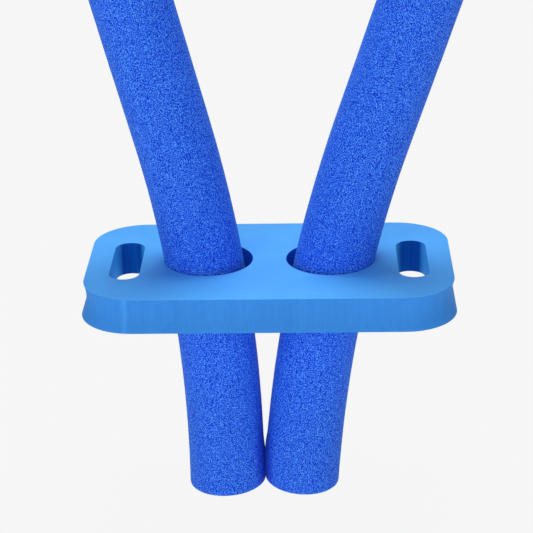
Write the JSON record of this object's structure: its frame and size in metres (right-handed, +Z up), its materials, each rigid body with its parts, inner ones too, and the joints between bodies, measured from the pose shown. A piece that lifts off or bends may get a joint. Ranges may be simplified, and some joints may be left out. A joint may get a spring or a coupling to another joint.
{
  "type": "foam float board with threaded pool noodles",
  "caption": "Flat foam float board with hand slots; foam noodles are threaded through its round holes and stand in a V as swimming support.",
  "frame": {"origin": "under the middle of the whole object, on the level of the noodles' lowest point; the board lies level above it", "axes": "+Z up, from the noodles' lower ends to their upper ends; +X along the board's length to the viewer's right; +Y away from the viewer, through the board's depth"},
  "size_m": [0.8688, 0.1708, 1.4709],
  "materials": {
    "board_foam": "matte",
    "noodle_foam": "matte"
  },
  "bodies": {
    "board": {"float_board": "board_foam"},
    "left_noodle": {"noodle_left": "noodle_foam"},
    "right_noodle": {"noodle_right": "noodle_foam"}
  },
  "joints": [
    {"name": "left_noodle_slide", "type": "hinge", "parent": "board", "child": "left_noodle", "pos_m": [-1.38306, 0, 0.01408], "axis": [0, -1, 0], "range_deg": [0, 7.8]},
    {"name": "right_noodle_slide", "type": "hinge", "parent": "board", "child": "right_noodle", "pos_m": [1.27236, 0, -0.08155], "axis": [0, 1, 0], "range_deg": [0, 7.8]}
  ]
}
